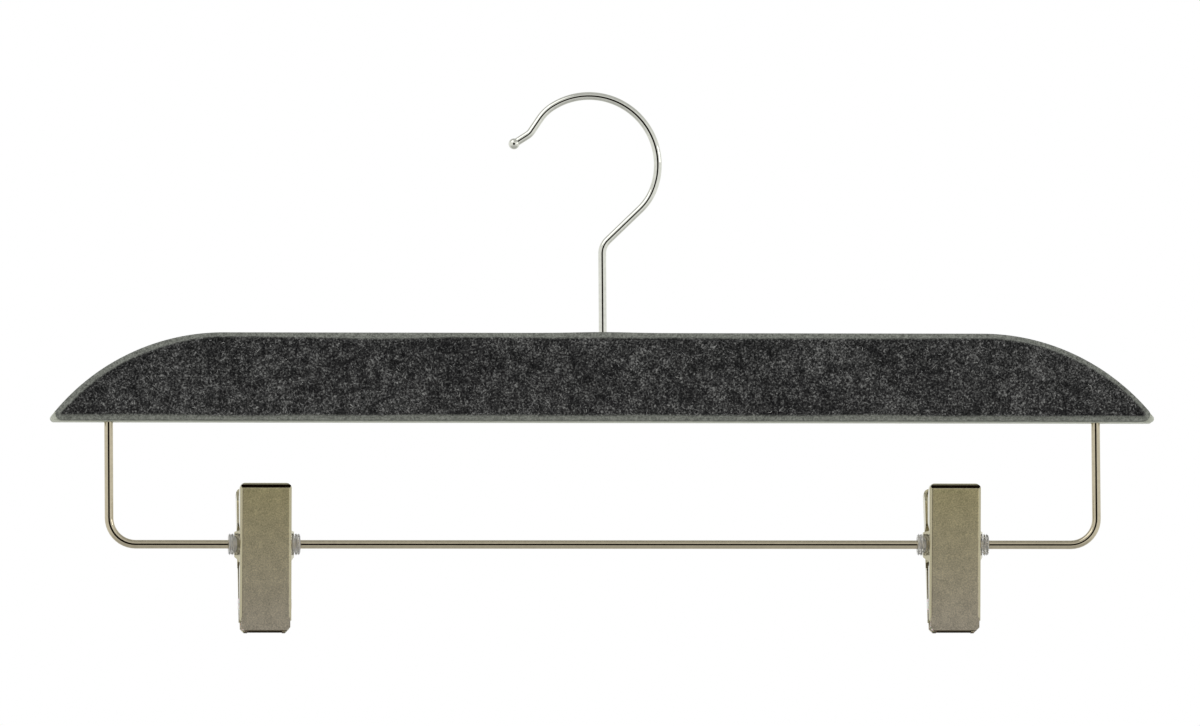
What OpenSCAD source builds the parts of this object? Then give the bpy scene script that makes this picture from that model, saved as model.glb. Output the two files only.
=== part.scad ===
// Trouser hanger: a felt covered board on a swivel hook, with a wire bar below it
// that carries two sprung clips. The origin is the rail's seat inside the hook,
// straight above the stem. X runs along the board and the front faces -Y.

/* [Hook] */
// Diameter of the hook's wire
hook_wire = 3; // [2.6:0.1:3.8]
// Radius of the hook's main arc, to the middle of its wire
hook_r = 26; // [23:0.1:32]
// How far the main arc's centre lies to the left of the stem
hook_side = 4.5; // [3:0.1:7]
// Radius of the tighter arc under the main one
low_r = 21.1; // [14:0.1:22]
// How far below level the tighter arc starts, in degrees
low_start = 23; // [12:1:30]
// Rise of the straight run between stem and arc, in degrees
run_rise = 43.7; // [38:0.1:50]
// Radius of the bend at the top of the stem
neck_r = 7; // [5:0.5:9]
// Angle round the main arc at which the tip's own arc starts
tip_start = 123; // [110:1:130]
// Radius of the tip's own arc
tip_r = 17; // [10:0.5:20]
// How far the tip's own arc turns, in degrees
tip_turn = 22.7; // [15:0.1:32]
// Length of the steep straight run down the tip
tip_run = 5.8; // [4:0.1:10]
// Radius of the back bend near the ball
back_r = 5; // [4:0.5:8]
// How far the back bend turns, in degrees
back_turn = 23.2; // [10:0.1:30]
// Length of the last straight run, to the middle of the ball
end_run = 6.1; // [5.5:0.1:10]
// How much wider than the wire the ball is
ball_over = 1.2; // [0.5:0.1:2]
// Height from the rail's seat in the hook to the top of the board
hang_h = 88.7; // [80:0.1:110]

/* [Swivel] */
// Wall of the sleeve that the stem turns in
sleeve_wall = 0.65; // [0.4:0.05:0.8]
// Length of the sleeve
sleeve_l = 14; // [10:0.5:16]
// How much wider than the wire the peened head is
head_over = 1.7; // [1.2:0.1:2]
// Thickness of the peened head
head_t = 1.2; // [0.8:0.1:2]
// How much wider than the peened head the washer is
washer_over = 0.4; // [0.2:0.1:0.6]
// Thickness of the washer
washer_t = 1; // [0.6:0.1:1.5]
// Width of the window that the head turns in
window_w = 10; // [8:0.5:14]
// Height of the window
window_h = 10; // [7:0.5:12]

/* [Board] */
// Length of the board
board_l = 420; // [340:1:460]
// Height of the board
board_h = 33.7; // [32:0.1:40]
// Thickness of the core
core_t = 6; // [5.8:0.1:9]
// Radius of the arc that shapes each end of the board
end_r = 83.5; // [70:0.1:100]
// Radius of the round at each tip of the core
tip_round = 1.4; // [1:0.1:3.6]
// Thickness of each felt cover at its raised field
felt_t = 2.5; // [2:0.1:4]
// Width of the felt's pressed rim
rim_w = 1.4; // [1:0.1:3]
// Thickness of the pressed rim
rim_t = 1.2; // [0.8:0.1:1.8]
// Width of the slope from the rim up to the field
rim_slope = 0.6; // [0.5:0.1:1.5]
// How far the felt stops short of the core's tip
felt_short = 1.7; // [1:0.1:3]
// How far the felt stops above the core's lower edge
felt_rise = 0.3; // [0.1:0.1:1]
// Radius of the felt's lower corners
felt_corner = 2.6; // [0.8:0.1:3]

/* [Trouser bar] */
// Diameter of the bar's wire
bar_wire = 3.3; // [3:0.1:4]
// Distance from the board's end to the bar's leg
bar_in = 22; // [20:1:50]
// Drop from the board's lower edge to the middle of the bar
bar_drop = 46.4; // [42:0.1:70]
// Radius of the bar's bends, to the middle of its wire
bar_bend_r = 10; // [7:0.5:16]
// Depth of the bar's legs in the board
bar_hold = 14; // [10:0.5:16]

/* [Clip shells] */
// Distance of the left clip from the bar's leg beside it
left_in = 58.7; // [40:0.1:90]
// Distance of the right clip from the bar's leg beside it
right_in = 55.1; // [40:0.1:90]
// Width of a shell
clip_w = 19.6; // [18:0.1:24]
// Thickness of the steel sheet
sheet_t = 0.8; // [0.6:0.05:0.9]
// Distance from the bar's middle to a shell's outer face
face_off = 8.4; // [8:0.1:9.5]
// Reach of the shells above the bar's middle
clip_up = 23.4; // [21:0.1:28]
// Reach of the shells below the bar's middle
clip_down = 32.6; // [31:0.05:38]
// Depth from a shell's outer face to where the jaws meet, at the bottom
jaw_meet = 3.25; // [3:0.05:3.8]
// Lean of the front shell, its top towards the front, in degrees
front_lean = 6; // [0:0.1:8]
// Outer radius of the bends along a shell's sides
side_bend = 1.2; // [1:0.05:1.6]
// Outer radius of the bend at a shell's top
top_bend = 2.4; // [2:0.1:3.8]
// Radius of a shell's top corners, seen from the front
top_corner = 2.1; // [1.4:0.1:3]
// Depth of the folded top lip
top_lip = 3.8; // [3:0.1:5]
// Depth of the side flanges above the bar
wing_deep = 7; // [6:0.1:7.4]
// Depth of the side flanges just below the bar
skirt_deep = 4.5; // [3.5:0.1:5.5]
// Depth of the side flanges at their lower end
skirt_low = 2; // [1.4:0.1:2.4]
// Length of the flat tongue below the side flanges
tongue_l = 4; // [3:0.1:5]
// How much narrower than the shell the tongue is, on each side
tongue_in = 0.5; // [0.2:0.1:1]
// Size of the cut across the tongue's corners
tongue_cut = 1.5; // [0.8:0.1:2]
// How much narrower than the shell the folded lower lip is, on each side
lip_in = 3.2; // [2.5:0.1:4]
// Outer radius of the lower lip's bend
lip_bend = 1; // [0.9:0.05:1.4]

/* [Clip ears] */
// Radius of the rear shell's ears
rear_ear_r = 5; // [4.6:0.1:5.2]
// Radius of the front shell's ears
front_ear_r = 4.7; // [4.4:0.1:5.5]
// How far the front ears flare outwards
ear_flare = 1.5; // [1:0.1:2]
// Depth at which the front ears start to flare
flare_from = 3; // [2.5:0.1:4]
// Depth at which the front ears have flared
flare_to = 8; // [6:0.1:8.4]
// Height of the front ear's root above the bar
ear_root_up = 5.8; // [5.5:0.1:6.5]
// Depth of the front ear's root below the bar
ear_root_down = 7.2; // [6:0.1:8]
// Depth at which the ears leave a shell's side flanges
step_start = 1.7; // [1.5:0.1:1.9]

/* [Clip sleeve] */
// Gap between the front ears and the sleeve's flanges
flange_gap = 0.45; // [0.3:0.05:1.5]
// Thickness of the sleeve's flanges
bush_flange_t = 1.75; // [1.5:0.05:2.6]
// Diameter of the sleeve's flanges
bush_flange_d = 8.2; // [7.6:0.1:10]
// Diameter of the sleeve's barrel
barrel_d = 6.3; // [6.1:0.1:6.6]
// Diameter of the plug that joins the two halves
plug_d = 5; // [4.9:0.05:5.2]
// Length of the plug
plug_l = 8; // [5:0.5:10]
// Depth of the groove round each flange
groove_deep = 0.35; // [0.2:0.05:0.6]

/* [Clip spring] */
// Diameter of the spring's wire
spring_wire = 1.2; // [1:0.05:1.3]
// Distance from one turn of the spring to the next
spring_pitch = 1.7; // [1.7:0.05:2]
// Turns of the spring, counted from leg to leg
spring_turns = 6; // [4:1:7]
// Length of each leg of the spring
spring_leg = 15; // [12:0.5:16]

/* [Clip pads] */
// Gap between a pad's sides and the shell's flanges beside it
pad_in = 0.75; // [0.3:0.05:1.2]
// Height of the jaw pads
pad_h = 11.3; // [10:0.1:12.5]
// Distance from one rib of a pad to the next
rib_pitch = 2; // [1.5:0.1:3]
// Depth of the grooves between a pad's ribs
rib_deep = 0.5; // [0.3:0.05:0.7]
// Height of the pad's side lugs
lug_h = 3.9; // [3:0.1:5]
// How far the lugs stand out past a shell's sides
lug_out = 0.3; // [0.1:0.1:0.6]

/* [Fits] */
// Running gap between the stem and its sleeve, on the radius
stem_gap = 0.05; // [0.03:0.01:0.1]
// Glue gap round what is set in the board, on the radius
glue_gap = 0.03; // [0.01:0.01:0.05]
// Lift between the washer and the sleeve above it
swivel_play = 0.15; // [0.1:0.05:0.4]
// Running gap between the bar and the clip's sleeve, on the radius
slide_gap = 0.08; // [0.05:0.01:0.12]
// Running gap between the ears and the clip's sleeve, on the radius
ear_gap = 0.07; // [0.05:0.01:0.1]
// Gap between the front ears and the rear ears
ear_side_gap = 0.1; // [0.1:0.05:0.3]
// Gap between the plug and its socket, on the radius
plug_gap = 0.025; // [0.01:0.005:0.05]
// Gap between the spring's coil and the sleeve, on the radius
coil_gap = 0.4; // [0.4:0.05:0.6]
// Gap between a spring's leg and the shell that it presses on
leg_gap = 0.1; // [0.05:0.05:0.2]
// Gap between a pad's lugs and the edge of the flange that they pass over
lug_gap = 0.15; // [0.1:0.05:0.3]
// Gap from each pad to the plane where the jaws meet
pad_gap = 0.15; // [0.15:0.05:0.3]
// Gap from each lower lip to the plane where the jaws meet
lip_gap = 0.3; // [0.2:0.05:0.5]

/* [Hidden] */
$fn = 64;
past = 1;           // how far a cutting shape runs past what it cuts
joint_l = 0.04;     // length of the collar at a wire's joints
joint_over = 0.01;  // how much wider than the wire that collar is

// Colours
nickel = [0.70, 0.68, 0.63];
satin_steel = [0.55, 0.52, 0.45];
brass = [0.72, 0.60, 0.35];
felt_grey = [0.24, 0.24, 0.25];
board_pale = [0.73, 0.75, 0.69];
milky = [0.86, 0.87, 0.88];
pad_white = [0.90, 0.91, 0.91];

// The hook's path, worked out so that the arcs and straight runs meet smoothly
arc_c = [-hook_side, -sqrt(pow(hook_r - hook_wire / 2, 2) - pow(hook_side, 2))];
low_c = arc_c + (hook_r - low_r) * [cos(low_start), -sin(low_start)];
run_turn = 90 - run_rise;
run_end = low_c + low_r * [cos(run_turn), -sin(run_turn)];
neck_cut = neck_r * tan(run_turn / 2);
neck_z = run_end[0] * tan(run_rise) - run_end[1];   // how far the neck's corner lies below the seat

// Heights
board_top = -hang_h;
board_bottom = board_top - board_h;
bar_z = board_bottom - bar_drop;
sleeve_bottom = board_top - sleeve_l;
washer_top = sleeve_bottom - swivel_play;
head_top = washer_top - washer_t;

// Steps of a wire: straight length, radius of the bend after it, turn of that bend
hook_steps = [
    [-neck_z - neck_cut - head_top, neck_r, -run_turn],
    [run_end[0] / cos(run_rise) - neck_cut, low_r, run_turn - low_start],
    [0, hook_r, low_start + tip_start],
    [0, tip_r, tip_turn],
    [tip_run, back_r, -back_turn],
    [end_run, 0, 0]
];
bar_x = board_l / 2 - bar_in;
leg_l = bar_hold + bar_drop - bar_bend_r;
bar_steps = [
    [leg_l, bar_bend_r, -90],
    [2 * (bar_x - bar_bend_r), bar_bend_r, -90],
    [leg_l, 0, 0]
];

// Swivel
stem_hole_d = hook_wire + 2 * stem_gap;
sleeve_d = stem_hole_d + 2 * sleeve_wall;
head_d = hook_wire + head_over;

// Board outline: the centre of each tip's round, and from it the centre of each end arc
tip_c_z = board_bottom + tip_round;
end_c_z = board_top - end_r;
tip_c_x = board_l / 2 - tip_round;
end_c_x = tip_c_x - sqrt(pow(end_r - tip_round, 2) - pow(tip_c_z - end_c_z, 2));
felt_x = board_l / 2 - felt_short;

// Clip: both shells lean by the same angle from the plane where the jaws meet
meet_lean = atan((face_off - jaw_meet) / clip_down);
rear_lean = 2 * meet_lean - front_lean;
function meet_v(u) = face_off + u * tan(meet_lean);     // depth of the meeting plane at height u
skirt_end = clip_down - tongue_l;
ear_step = sheet_t + ear_side_gap;                      // how far the rear ears step inwards
ear_deep = face_off + max(rear_ear_r, front_ear_r) + past;
barrel_hole_d = barrel_d + 2 * ear_gap;
flange_in = clip_w / 2 + ear_flare + flange_gap;        // where the sleeve's flanges start
bush_l = 2 * (flange_in + bush_flange_t);
bush_bore_d = bar_wire + 2 * slide_gap;
skirt_start = ear_root_down + 0.8;
function skirt_v(u) = skirt_low + (skirt_deep - skirt_low) * (skirt_end + u) / (skirt_end - skirt_start);
lip_w = clip_w - 2 * lip_in;
left_x = bar_x - left_in;
right_x = bar_x - right_in;
pad_w = clip_w - 2 * sheet_t - 2 * pad_in;
pad_bottom = -clip_down + sheet_t + lug_gap;
pad_top = pad_bottom + pad_h;
lug_top = pad_top - 0.1;

// Spring: its coil's radius, and the lean of a leg that leaves it smoothly and ends on a shell
coil_r = barrel_d / 2 + coil_gap + spring_wire / 2;
leg_end = face_off - sheet_t - leg_gap - spring_wire / 2;
leg_lean = asin(leg_end / norm([coil_r, spring_leg])) - atan(coil_r / spring_leg);
coil_from = 180 + front_lean + leg_lean;
coil_to = 360 * spring_turns - rear_lean - leg_lean;
coil_l = spring_pitch * (coil_to - coil_from) / 360;
coil_rings = round((coil_to - coil_from) / 45);         // eight rings to a turn

function unit(v) = v / norm(v);

// An outline from points [x, y, radius], each corner rounded by its radius
function corner(p, q, s, r, n = 5) =
    let (
        a = unit(p - q),
        b = unit(s - q),
        half = acos(a * b) / 2,
        c = q + unit(a + b) * r / sin(half),
        from = q + a * r / tan(half) - c,
        to = q + b * r / tan(half) - c
    )
    [for (i = [0:n]) c + r * unit(from + (to - from) * i / n)];
function flat(p) = [p[0], p[1]];
function rounded(pts) = [
    for (i = [0:len(pts) - 1])
        each pts[i][2] > 0
            ? corner(
                flat(pts[(i + len(pts) - 1) % len(pts)]), flat(pts[i]),
                flat(pts[(i + 1) % len(pts)]), pts[i][2])
            : [flat(pts[i])]
];

// A collar, wider than the wire by less than a hair, that runs two lengths of wire into one
module wire_joint(d) {
    translate([0, 0, -joint_l / 2])
        cylinder(h = joint_l, d = d + joint_over);
}

// Round wire along steps, in the XZ plane from the origin upwards; children stand at its end
module wire(steps, d, i = 0) {
    if (i < len(steps)) {
        length = steps[i][0];
        r = steps[i][1];
        turn = steps[i][2];
        flip = turn < 0 ? 180 : 0;
        if (i > 0) wire_joint(d);
        if (length > 0) cylinder(h = length, d = d);
        translate([0, 0, length]) {
            if (length > 0 && r > 0) wire_joint(d);
            if (r > 0) {
                rotate([0, 0, flip])
                    translate([-r, 0, 0])
                        rotate([90, 0, 0])
                            rotate_extrude(angle = abs(turn), $fn = 96)
                                translate([r, 0])
                                    circle(d = d, $fn = 32);
            }
            translate([(turn < 0 ? r : -r) * (1 - cos(turn)), 0, r * sin(abs(turn))])
                rotate([0, -turn, 0])
                    wire(steps, d, i + 1) children();
        }
    } else {
        children();
    }
}

// An outline in Y and Z, drawn out along X by w, half to each side
module across(w) {
    rotate([90, 0, 90])
        linear_extrude(w, center = true)
            children();
}

// An outline in X and Z, drawn out along Y from y0 to y1
module through(y0, y1) {
    translate([0, y1, 0])
        rotate([90, 0, 0])
            linear_extrude(y1 - y0)
                children();
}

// A rectangle with a true round at each corner that signs names, such as [[-1, 1]] for upper left
module soft_rect(lo, hi, r, signs) {
    mid = (lo + hi) / 2;
    half = (hi - lo) / 2;
    difference() {
        translate(lo)
            square(hi - lo);
        for (s = signs) {
            translate([mid[0] + s[0] * (half[0] - r / 2 + past / 2), mid[1] + s[1] * (half[1] - r / 2 + past / 2)])
                square(r + past, center = true);
        }
    }
    for (s = signs) {
        translate([mid[0] + s[0] * (half[0] - r), mid[1] + s[1] * (half[1] - r)])
            circle(r, $fn = 48);
    }
}

// Hook and swivel
module hook() {
    color(nickel)
        translate([0, 0, head_top]) {
            wire(hook_steps, hook_wire)
                hook_ball();
            rotate_extrude()
                polygon([
                    [0, -head_t], [hook_wire / 2, -head_t], [head_d / 2, -head_t / 2],
                    [head_d / 2, 0], [0, 0]
                ]);
        }
}

module hook_ball() {
    sphere(d = hook_wire + ball_over, $fn = 48);
}

module hook_washer() {
    color(nickel)
        translate([0, 0, head_top])
            difference() {
                cylinder(h = washer_t, d = head_d + washer_over);
                translate([0, 0, -past])
                    cylinder(h = washer_t + 2 * past, d = stem_hole_d);
            }
}

module hook_bush() {
    color(brass)
        translate([0, 0, sleeve_bottom])
            difference() {
                cylinder(h = sleeve_l, d = sleeve_d);
                translate([0, 0, -past])
                    cylinder(h = sleeve_l + 2 * past, d = stem_hole_d);
            }
}

// Board
module core_outline() {
    reach = unit([tip_c_x - end_c_x, tip_c_z - end_c_z]);
    touch = [end_c_x, end_c_z] + end_r * reach;
    difference() {
        intersection() {
            translate([-board_l / 2 - past, board_bottom])
                square([board_l + 2 * past, board_h]);
            union() {
                translate([-end_c_x, board_bottom])
                    square([2 * end_c_x, board_h]);
                for (s = [-1, 1]) {
                    translate([s * end_c_x, end_c_z])
                        circle(end_r, $fn = 240);
                }
            }
        }
        for (s = [-1, 1]) {
            polygon([
                [s * tip_c_x, tip_c_z], [s * touch[0], touch[1]],
                [s * (board_l / 2 + 6), touch[1]], [s * (board_l / 2 + 6), board_bottom - past],
                [s * tip_c_x, board_bottom - past]
            ]);
        }
    }
    for (s = [-1, 1]) {
        translate([s * tip_c_x, tip_c_z])
            circle(tip_round, $fn = 48);
    }
}

module core_board() {
    color(board_pale)
        difference() {
            through(-core_t / 2, core_t / 2)
                core_outline();
            translate([0, 0, sleeve_bottom - past])
                cylinder(h = sleeve_l + 2 * past, d = sleeve_d + 2 * glue_gap);
            translate([-window_w / 2, -core_t / 2 - past, sleeve_bottom - window_h])
                cube([window_w, core_t + 2 * past, window_h]);
            for (s = [-1, 1]) {
                translate([s * bar_x, 0, board_bottom - past])
                    cylinder(h = bar_hold + past + 10 * glue_gap, d = bar_wire + 2 * glue_gap);
            }
        }
}

// The felt's outline, drawn in by inset all round
function felt_side(inset) =
    let (
        x = felt_x - inset,
        low = board_bottom + felt_rise + inset,
        r = max(felt_corner - inset, 0.3),
        last = acos((x - end_c_x) / (end_r - inset)),
        n = ceil((90 - last) / 3)
    )
    concat(
        [for (i = [0:n])
            let (a = 90 - (90 - last) * i / n)
            [end_c_x + (end_r - inset) * cos(a), end_c_z + (end_r - inset) * sin(a)]],
        [for (i = [0:5])
            [x - r + r * cos(18 * i), low + r - r * sin(18 * i)]]
    );
function mirrored(pts) = [for (i = [len(pts) - 1:-1:0]) [-pts[i][0], pts[i][1]]];
function felt_outline(inset) = concat(felt_side(inset), mirrored(felt_side(inset)));

// One felt cover, its back on the plane y = 0 and its field towards -Y
module felt_cover() {
    through(-rim_t, 0)
        polygon(felt_outline(0));
    hull() {
        through(-rim_t, -rim_t / 2)
            polygon(felt_outline(rim_w));
        through(-felt_t, -rim_t)
            polygon(felt_outline(rim_w + rim_slope));
    }
}

module front_felt() {
    color(felt_grey)
        translate([0, -core_t / 2, 0])
            felt_cover();
}

module rear_felt() {
    color(felt_grey)
        translate([0, core_t / 2, 0])
            mirror([0, 1, 0])
                felt_cover();
}

module trouser_bar() {
    color(nickel)
        translate([-bar_x, 0, board_bottom + bar_hold])
            rotate([180, 0, 0])
                wire(bar_steps, bar_wire);
}

// Clips: the outlines below have x as depth from a shell's outer face, y as height over the bar
wing_outline = rounded([
    [-past, -skirt_end, 0], [skirt_low, -skirt_end, 1],
    [skirt_deep, -skirt_start, 1.2], [step_start + 0.4 * sheet_t, -ear_root_down - 0.4, 0.5],
    [step_start + 0.4 * sheet_t, ear_root_up + 0.4, 0.5], [wing_deep - 0.6, ear_root_up + 2.4, 1.5],
    [wing_deep, clip_up - 5.5, 3], [top_lip, clip_up - sheet_t - 0.4, 0.6],
    [top_lip, clip_up + past, 0], [-past, clip_up + past, 0]
]);
rear_ear_outline = [
    [0, -rear_ear_r - 1], [face_off - rear_ear_r / 2, -rear_ear_r * sin(60)], [face_off, 0],
    [face_off - rear_ear_r / 2, rear_ear_r * sin(60)], [0, rear_ear_r + 1]
];

// The box that a shell is drawn from, all its faces drawn in by inset
module shell_box(inset, low) {
    w = clip_w / 2 - inset;
    deep = 2 * face_off;
    top = clip_up - inset;
    intersection() {
        across(2 * w)
            soft_rect([inset, low], [deep, top], top_bend - inset, [[-1, 1]]);
        translate([0, 0, low])
            linear_extrude(top - low)
                soft_rect([-w, inset], [w, deep], side_bend - inset, [[-1, -1], [1, -1]]);
        through(inset, deep)
            soft_rect([-w, low], [w, top], top_corner - inset, [[-1, 1], [1, 1]]);
    }
}

// A shell without its ears, its outer face on the plane y = 0 and its inside towards +Y
module shell_body() {
    tongue_w = clip_w - 2 * tongue_in;
    difference() {
        intersection() {
            shell_box(0, -skirt_end);
            across(clip_w + past)
                polygon(wing_outline);
        }
        shell_box(sheet_t, -skirt_end - past);
    }
    difference() {
        through(0, sheet_t)
            polygon([
                [-tongue_w / 2, -skirt_end + side_bend], [-tongue_w / 2, -clip_down + tongue_cut],
                [-tongue_w / 2 + tongue_cut, -clip_down], [tongue_w / 2 - tongue_cut, -clip_down],
                [tongue_w / 2, -clip_down + tongue_cut], [tongue_w / 2, -skirt_end + side_bend]
            ]);
        translate([-lip_w / 2, -past, -clip_down - past])
            cube([lip_w, sheet_t + 2 * past, lip_bend + past]);
    }
    across(lip_w)
        difference() {
            soft_rect([0, -clip_down], [jaw_meet - lip_gap, -skirt_end], lip_bend, [[-1, -1]]);
            soft_rect(
                [sheet_t, -clip_down + sheet_t], [jaw_meet + past, -skirt_end + past],
                lip_bend - 0.9 * sheet_t, [[-1, -1]]);
        }
}

// A pair of ears whose plates shift sideways between two depths; children give their side outline
module ears(shift, start, end) {
    out = clip_w / 2;
    lag = sheet_t * tan(atan(shift / (end - start)) / 2);
    intersection() {
        translate([0, 0, -clip_w / 2])
            linear_extrude(clip_w) {
                for (s = [-1, 1]) {
                    polygon([
                        [s * (out - sheet_t), step_start], [s * out, step_start], [s * out, start],
                        [s * (out + shift), end], [s * (out + shift), ear_deep],
                        [s * (out + shift - sheet_t), ear_deep], [s * (out + shift - sheet_t), end + lag],
                        [s * (out - sheet_t), start + lag]
                    ]);
                }
            }
        across(2 * clip_w)
            children();
    }
}

module ear_bores() {
    translate([-clip_w, face_off, 0])
        rotate([0, 90, 0])
            cylinder(h = 2 * clip_w, d = barrel_hole_d);
}

module front_shell() {
    color(satin_steel)
        rotate([front_lean, 0, 0])
            translate([0, -face_off, 0])
                difference() {
                    union() {
                        shell_body();
                        ears(ear_flare, flare_from, flare_to) {
                            polygon([
                                [0, -ear_root_down], [face_off, -front_ear_r],
                                [face_off, front_ear_r], [0, ear_root_up]
                            ]);
                            translate([face_off, 0])
                                circle(front_ear_r);
                        }
                    }
                    ear_bores();
                }
}

module rear_shell() {
    color(satin_steel)
        rotate([-rear_lean, 0, 0])
            mirror([0, 1, 0])
                translate([0, -face_off, 0])
                    difference() {
                        union() {
                            shell_body();
                            ears(-ear_step, step_start + 0.4 * sheet_t, step_start + 0.4 * sheet_t + ear_step) {
                                polygon(rear_ear_outline);
                                translate([face_off, 0])
                                    circle(rear_ear_r);
                            }
                        }
                        ear_bores();
                    }
}

// One half of the clip's sleeve along +X, with the plug or with the socket for it
module bush_half(plug) {
    bore = bush_bore_d / 2;
    barrel = barrel_d / 2;
    rim = bush_flange_d / 2;
    groove = bush_flange_t / 4;
    middle = flange_in + bush_flange_t / 2;
    outside = [
        [barrel, 0], [barrel, flange_in], [rim - 0.3, flange_in], [rim, flange_in + 0.3],
        [rim, middle - groove], [rim - groove_deep, middle - groove / 2],
        [rim - groove_deep, middle + groove / 2], [rim, middle + groove],
        [rim, bush_l / 2 - 0.5], [rim - 0.5, bush_l / 2], [bore, bush_l / 2]
    ];
    joint = plug
        ? [[bore, -plug_l], [plug_d / 2, -plug_l], [plug_d / 2, 0]]
        : [
            [bore, plug_l + plug_gap], [plug_d / 2 + plug_gap, plug_l + plug_gap],
            [plug_d / 2 + plug_gap, 0]
        ];
    color(milky)
        rotate([0, 90, 0])
            rotate_extrude()
                polygon(concat(joint, outside));
}

// The spring: straight leg down, coil round the sleeve, straight leg up
function coil_point(t) =
    let (a = coil_from + (coil_to - coil_from) * t)
    [coil_l * (t - 0.5), coil_r * cos(a), coil_r * sin(a)];
function coil_normal(t) =
    let (a = coil_from + (coil_to - coil_from) * t)
    [0, cos(a), sin(a)];
first_leg = [0, -sin(front_lean + leg_lean), cos(front_lean + leg_lean)];
last_leg = [0, sin(rear_lean + leg_lean), cos(rear_lean + leg_lean)];
spring_path = concat(
    [coil_point(0) + spring_leg * first_leg],
    [for (i = [0:coil_rings]) coil_point(i / coil_rings)],
    [coil_point(1) + spring_leg * last_leg]
);
spring_normals = concat(
    [coil_normal(0)],
    [for (i = [0:coil_rings]) coil_normal(i / coil_rings)],
    [coil_normal(1)]
);

// A tube of six sides along a path, with a ring at each point
module tube(path, normals, d) {
    sides = 6;
    n = len(path);
    points = [
        for (i = [0:n - 1], k = [0:sides - 1])
            path[i] + d / 2 * (cos(60 * k) * normals[i] + sin(60 * k) * [1, 0, 0])
    ];
    walls = [
        for (i = [0:n - 2], k = [0:sides - 1], half = [0, 1])
            let (a = i * sides + k, b = i * sides + (k + 1) % sides)
            half == 0 ? [a, b, b + sides] : [a, b + sides, a + sides]
    ];
    first = [for (k = [1:sides - 2]) [0, k + 1, k]];
    last = [for (k = [1:sides - 2]) (n - 1) * sides * [1, 1, 1] + [0, k, k + 1]];
    polyhedron(points, concat(walls, first, last));
}

module spring() {
    color(nickel)
        tube(spring_path, spring_normals, spring_wire);
}

// The spring's least gap to itself, between points more than half a turn apart along its wire
leg_points = [for (i = [0:12]) coil_point(0) + spring_leg * (1 - i / 12) * first_leg];
coil_points = [for (i = [1:3 * coil_rings]) coil_point(i / (3 * coil_rings))];
gap_points = concat(leg_points, coil_points);
spring_gap = min([
    for (i = [0:len(gap_points) - 13], j = [i + 12:len(gap_points) - 1])
        norm(gap_points[i] - gap_points[j])
]) - spring_wire;
echo(str("least gap of a spring to itself: ", spring_gap, " mm"));

// A jaw pad, its back on the shell's inner face and its ribs towards the other jaw
module pad() {
    ribs = floor((pad_h - 1) / rib_pitch);
    grip = pad_gap;
    lug_v = skirt_v(lug_top) + lug_gap;
    color(pad_white) {
        across(pad_w)
            polygon(concat(
                [[sheet_t, pad_top], [sheet_t, pad_bottom], [meet_v(pad_bottom) - grip, pad_bottom]],
                [for (i = [0:ribs - 1], part = [0:3])
                    let (
                        u = pad_bottom + 1 + rib_pitch * (i + part / 4),
                        deep = part == 1 || part == 2 ? rib_deep : 0
                    )
                    [meet_v(u) - grip - deep, u]],
                [[meet_v(pad_top) - grip - 0.6, pad_top]]
            ));
        across(clip_w + 2 * lug_out)
            polygon([
                [lug_v, lug_top - lug_h], [meet_v(lug_top - lug_h) - grip - rib_deep, lug_top - lug_h],
                [meet_v(lug_top) - grip - rib_deep, lug_top], [lug_v, lug_top]
            ]);
    }
}

module front_pad() {
    rotate([front_lean, 0, 0])
        translate([0, -face_off, 0])
            pad();
}

module rear_pad() {
    rotate([-rear_lean, 0, 0])
        mirror([0, 1, 0])
            translate([0, -face_off, 0])
                pad();
}

// Each clip's place on the bar
module at_left() {
    translate([-left_x, 0, bar_z])
        children();
}

module at_right() {
    translate([right_x, 0, bar_z])
        children();
}

hook();
hook_washer();
hook_bush();
core_board();
front_felt();
rear_felt();
trouser_bar();
at_left() front_shell();  // left_front_shell
at_left() rear_shell();  // left_rear_shell
at_left() mirror([1, 0, 0]) bush_half(true);  // left_outer_bush
at_left() bush_half(false);  // left_inner_bush
at_left() spring();  // left_spring
at_left() front_pad();  // left_front_pad
at_left() rear_pad();  // left_rear_pad
at_right() front_shell();  // right_front_shell
at_right() rear_shell();  // right_rear_shell
at_right() bush_half(true);  // right_outer_bush
at_right() mirror([1, 0, 0]) bush_half(false);  // right_inner_bush
at_right() spring();  // right_spring
at_right() front_pad();  // right_front_pad
at_right() rear_pad();  // right_rear_pad
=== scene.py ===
import math
import random

import bpy
from mathutils import Matrix, Vector, noise


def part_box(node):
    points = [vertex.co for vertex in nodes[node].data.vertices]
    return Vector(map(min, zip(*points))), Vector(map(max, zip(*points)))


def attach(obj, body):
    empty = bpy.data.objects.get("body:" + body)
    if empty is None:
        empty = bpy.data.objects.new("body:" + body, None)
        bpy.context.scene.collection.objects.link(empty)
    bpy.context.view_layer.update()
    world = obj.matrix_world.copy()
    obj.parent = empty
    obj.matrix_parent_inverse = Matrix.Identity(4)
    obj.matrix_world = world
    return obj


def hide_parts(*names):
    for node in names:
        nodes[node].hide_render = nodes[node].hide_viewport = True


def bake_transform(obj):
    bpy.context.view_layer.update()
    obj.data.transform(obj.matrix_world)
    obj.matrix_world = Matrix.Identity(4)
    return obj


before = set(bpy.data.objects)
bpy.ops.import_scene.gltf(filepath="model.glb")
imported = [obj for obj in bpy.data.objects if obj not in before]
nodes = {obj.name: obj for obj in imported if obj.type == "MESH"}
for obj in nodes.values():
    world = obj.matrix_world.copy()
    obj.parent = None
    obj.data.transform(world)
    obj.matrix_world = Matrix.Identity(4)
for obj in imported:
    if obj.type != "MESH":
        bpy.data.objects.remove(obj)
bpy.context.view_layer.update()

mm = 0.001
print("frame loaded:", len(nodes), "nodes")


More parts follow.
